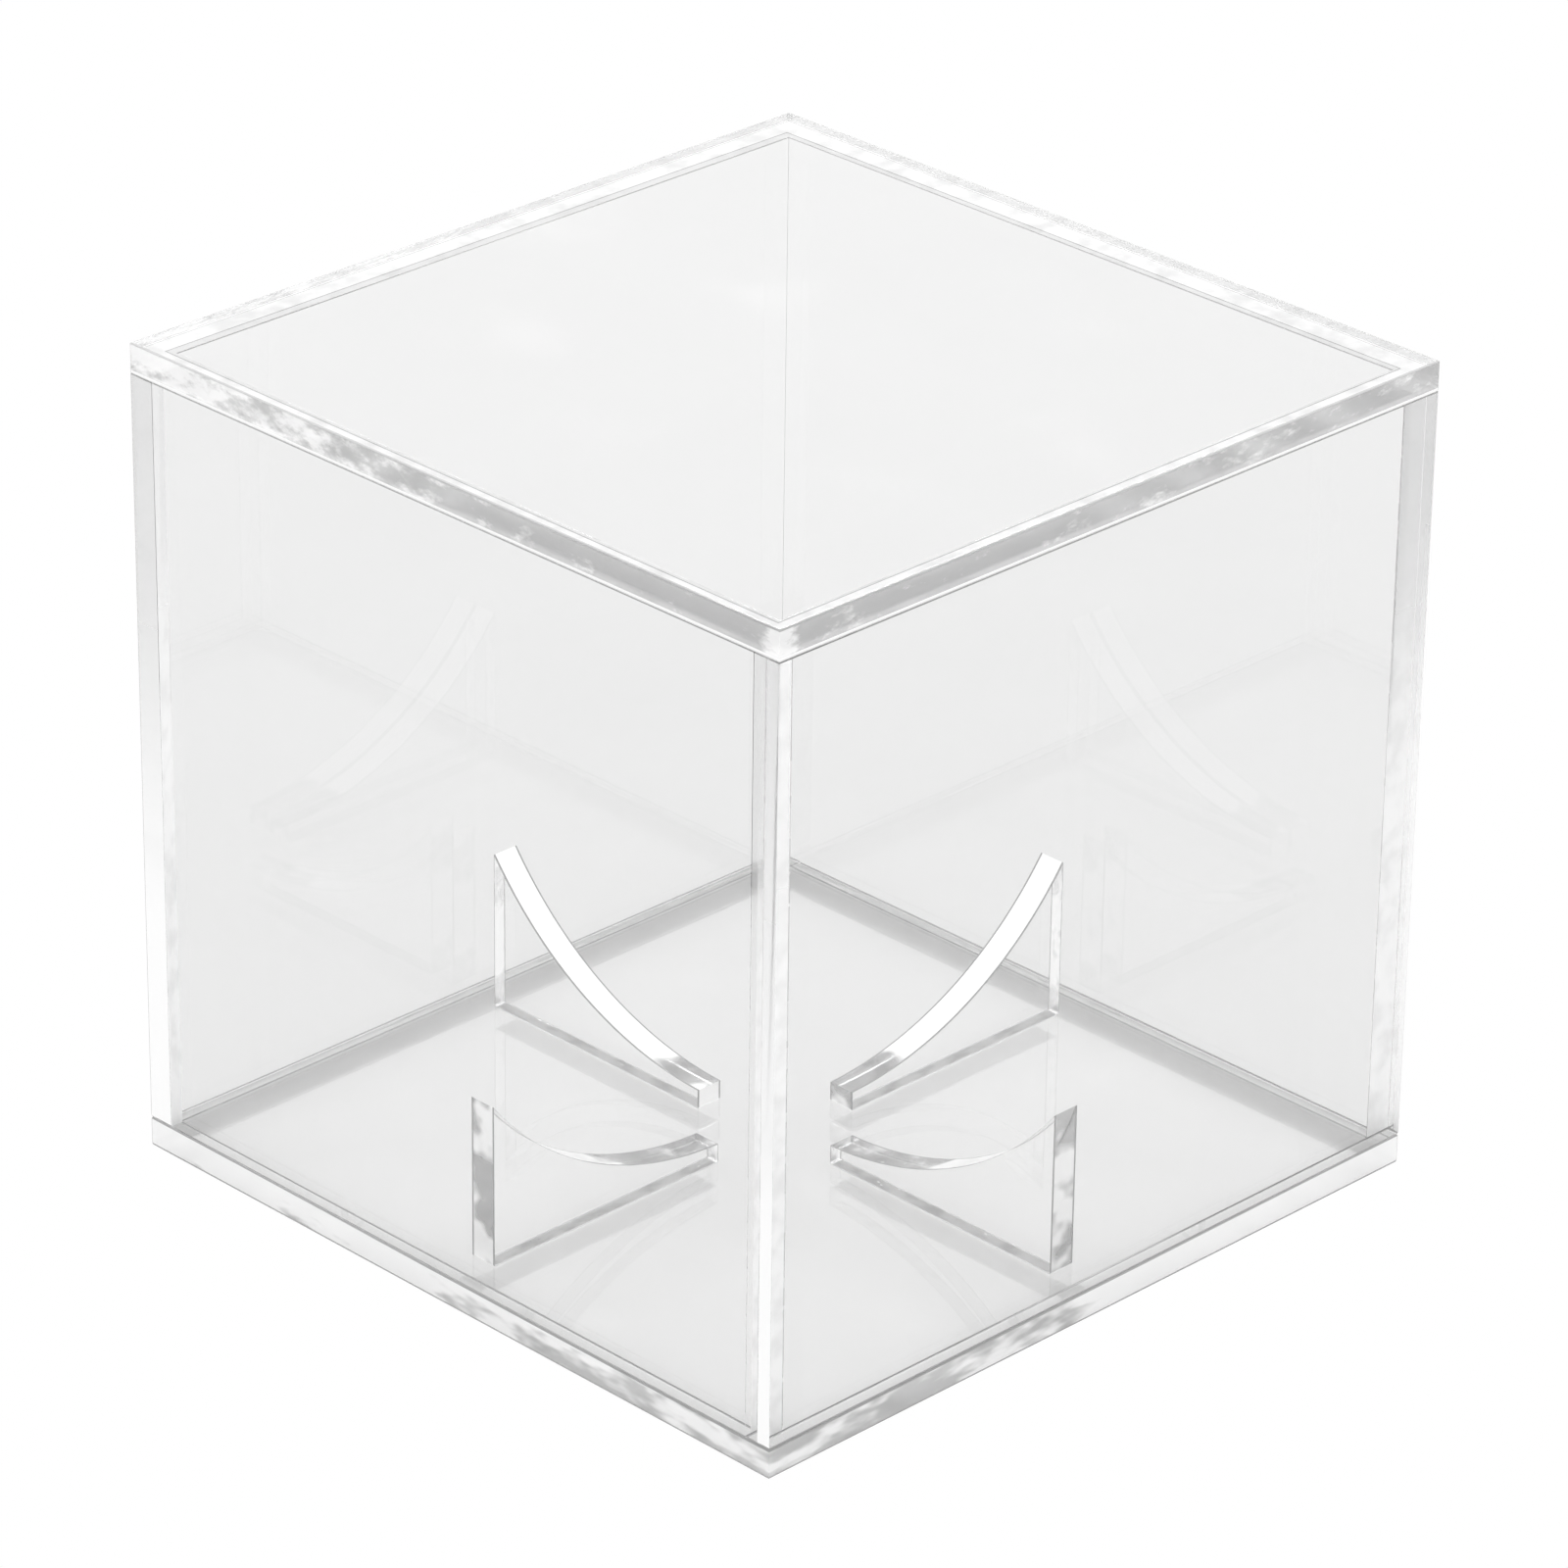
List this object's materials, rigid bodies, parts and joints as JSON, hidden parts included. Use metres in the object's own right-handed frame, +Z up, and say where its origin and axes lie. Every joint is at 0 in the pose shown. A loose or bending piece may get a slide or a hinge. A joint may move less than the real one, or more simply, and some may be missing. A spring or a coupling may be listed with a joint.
{
  "type": "acrylic ball display cube",
  "caption": "Clear acrylic display cube: a lift-off open-bottomed cover stands on a flat base plate with curved cradle ribs that hold a ball.",
  "frame": {"origin": "middle of the underside of the base plate, which is the bottom centre of the whole cube's box", "axes": "+Z up out of the base plate, the way the cover lifts; X and Y run along the cube's sides, with the front panel on -Y and the right panel on +X"},
  "size_m": [0.084, 0.084, 0.083],
  "materials": {
    "clear_base": "clear cast acrylic sheet, flame-polished edges",
    "clear_rib": "clear cast acrylic sheet, laser-cut and polished edges",
    "clear_cover": "clear cast acrylic sheet, polished edges, solvent-cemented seams"
  },
  "bodies": {
    "base": {"base_plate": "clear_base", "cradle_rib_right": "clear_rib", "cradle_rib_rear": "clear_rib", "cradle_rib_left": "clear_rib", "cradle_rib_front": "clear_rib"},
    "cover": {"front_panel": "clear_cover", "rear_panel": "clear_cover", "left_panel": "clear_cover", "right_panel": "clear_cover", "top_panel": "clear_cover"}
  },
  "joints": [
    {"name": "cover_lift", "type": "slide", "parent": "base", "child": "cover", "axis": [0, 0, 1], "range_m": [0, 0.1]}
  ]
}
